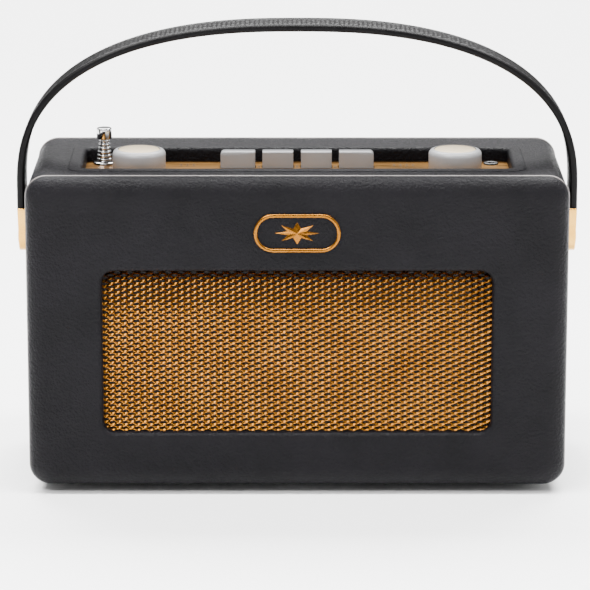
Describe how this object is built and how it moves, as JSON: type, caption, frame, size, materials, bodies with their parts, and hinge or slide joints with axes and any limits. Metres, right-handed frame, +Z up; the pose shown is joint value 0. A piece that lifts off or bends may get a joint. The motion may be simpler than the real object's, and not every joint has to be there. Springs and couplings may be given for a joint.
{
  "type": "portable radio",
  "caption": "Retro portable radio in a leather case with a padded front, gold grille, recessed top controls, telescopic aerial, strap handle and battery door.",
  "frame": {"origin": "centre of the swivel base's underside, on the surface that the radio stands on", "axes": "+X to the radio's right as seen from the front, +Y to the back, +Z up; the grille faces -Y"},
  "size_m": [0.2644, 0.1058, 0.216],
  "materials": {
    "leather": "pebble grain, semi-matte",
    "piping": "smooth",
    "gold_metal": "satin gold anodised",
    "brass": "polished",
    "chrome": "polished",
    "knob_plastic": "satin",
    "cap_plastic": "satin",
    "black_plastic": "moulded",
    "wood": "raw ply",
    "steel": "zinc plated",
    "cloth": "woven",
    "cone_paper": "pressed",
    "rubber_pad": "matte",
    "board": "laminate",
    "copper": "wound wire",
    "battery_wrap": "printed sleeve"
  },
  "bodies": {
    "handle": {"handle_strap": "leather", "left_handle_clip": "brass", "right_handle_clip": "brass"},
    "door": {"back_door": "leather", "door_catch": "brass"},
    "base": {"swivel_plate": "steel", "base_pad": "rubber_pad", "swivel_stud": "steel"},
    "volume_control_knob": {"volume_knob": "knob_plastic", "volume_cap": "cap_plastic", "volume_shaft": "steel"},
    "tuning_control_knob": {"tuning_knob": "knob_plastic", "tuning_cap": "cap_plastic", "tuning_shaft": "steel"},
    "aerial_1": {"aerial_section_1": "chrome"},
    "aerial_2": {"aerial_section_2": "chrome"},
    "aerial_3": {"aerial_section_3": "chrome"},
    "aerial_4": {"aerial_section_4": "chrome"},
    "aerial_5": {"aerial_section_5": "chrome"},
    "aerial_6": {"aerial_section_6": "chrome", "aerial_tip": "chrome"},
    "push_key_1": {"key_1": "knob_plastic"},
    "push_key_2": {"key_2": "knob_plastic"},
    "push_key_3": {"key_3": "knob_plastic"},
    "push_key_4": {"key_4": "knob_plastic"},
    "root": {"leather_wrap": "leather", "well_lip": "leather", "front_panel": "leather", "back_panel": "leather", "front_piping": "piping", "back_piping": "piping", "control_panel": "gold_metal", "grille_mesh": "gold_metal", "front_badge": "gold_metal", "pivot_screws": "brass", "pivot_washers": "brass", "back_screws": "brass", "door_hinge_pins": "brass", "battery_contacts": "brass", "aerial_sleeve": "chrome", "earphone_socket": "black_plastic", "battery_box": "black_plastic", "switch_bank": "black_plastic", "ferrite_rod": "black_plastic", "cabinet_shell": "wood", "baffle_board": "wood", "corner_blocks": "wood", "speaker_frame": "steel", "speaker_magnet": "steel", "speaker_screws": "steel", "volume_control": "steel", "board_pillars": "steel", "grille_cloth": "cloth", "speaker_cone": "cone_paper", "circuit_board": "board", "board_components": "board", "tuning_capacitor": "board", "ferrite_brackets": "board", "aerial_coils": "copper", "batteries": "battery_wrap"}
  },
  "joints": [
    {"name": "handle_swing", "type": "hinge", "parent": "root", "child": "handle", "pos_m": [0, -0.003, 0.1135], "axis": [1, 0, 0], "range_deg": [-36, 36]},
    {"name": "door_open", "type": "hinge", "parent": "root", "child": "door", "pos_m": [0, 0.0495, 0.017], "axis": [-1, 0, 0], "range_deg": [0, 90]},
    {"name": "base_swivel", "type": "hinge", "parent": "root", "child": "base", "pos_m": [0, 0, 0.003], "axis": [0, 0, 1], "continuous": true},
    {"name": "volume_turn", "type": "hinge", "parent": "root", "child": "volume_control_knob", "pos_m": [-0.0743, -0.004, 0.145], "axis": [0, 0, -1], "range_deg": [0, 300]},
    {"name": "tuning_turn", "type": "hinge", "parent": "root", "child": "tuning_control_knob", "pos_m": [0.0743, -0.004, 0.145], "axis": [0, 0, -1], "range_deg": [0, 180]},
    {"name": "aerial_slide_1", "type": "slide", "parent": "root", "child": "aerial_1", "axis": [0, 0, 1], "range_m": [0, 0.1]},
    {"name": "aerial_slide_2", "type": "slide", "parent": "aerial_1", "child": "aerial_2", "axis": [0, 0, 1], "range_m": [0, 0.1]},
    {"name": "aerial_slide_3", "type": "slide", "parent": "aerial_2", "child": "aerial_3", "axis": [0, 0, 1], "range_m": [0, 0.1]},
    {"name": "aerial_slide_4", "type": "slide", "parent": "aerial_3", "child": "aerial_4", "axis": [0, 0, 1], "range_m": [0, 0.1]},
    {"name": "aerial_slide_5", "type": "slide", "parent": "aerial_4", "child": "aerial_5", "axis": [0, 0, 1], "range_m": [0, 0.1]},
    {"name": "aerial_slide_6", "type": "slide", "parent": "aerial_5", "child": "aerial_6", "axis": [0, 0, 1], "range_m": [0, 0.1]},
    {"name": "key_press_1", "type": "slide", "parent": "root", "child": "push_key_1", "axis": [0, 0, -1], "range_m": [0, 0.003], "stiffness_N_per_m": 150, "springref_m": -0.002},
    {"name": "key_press_2", "type": "slide", "parent": "root", "child": "push_key_2", "axis": [0, 0, -1], "range_m": [0, 0.003], "stiffness_N_per_m": 150, "springref_m": -0.002},
    {"name": "key_press_3", "type": "slide", "parent": "root", "child": "push_key_3", "axis": [0, 0, -1], "range_m": [0, 0.003], "stiffness_N_per_m": 150, "springref_m": -0.002},
    {"name": "key_press_4", "type": "slide", "parent": "root", "child": "push_key_4", "axis": [0, 0, -1], "range_m": [0, 0.003], "stiffness_N_per_m": 150, "springref_m": -0.002}
  ]
}
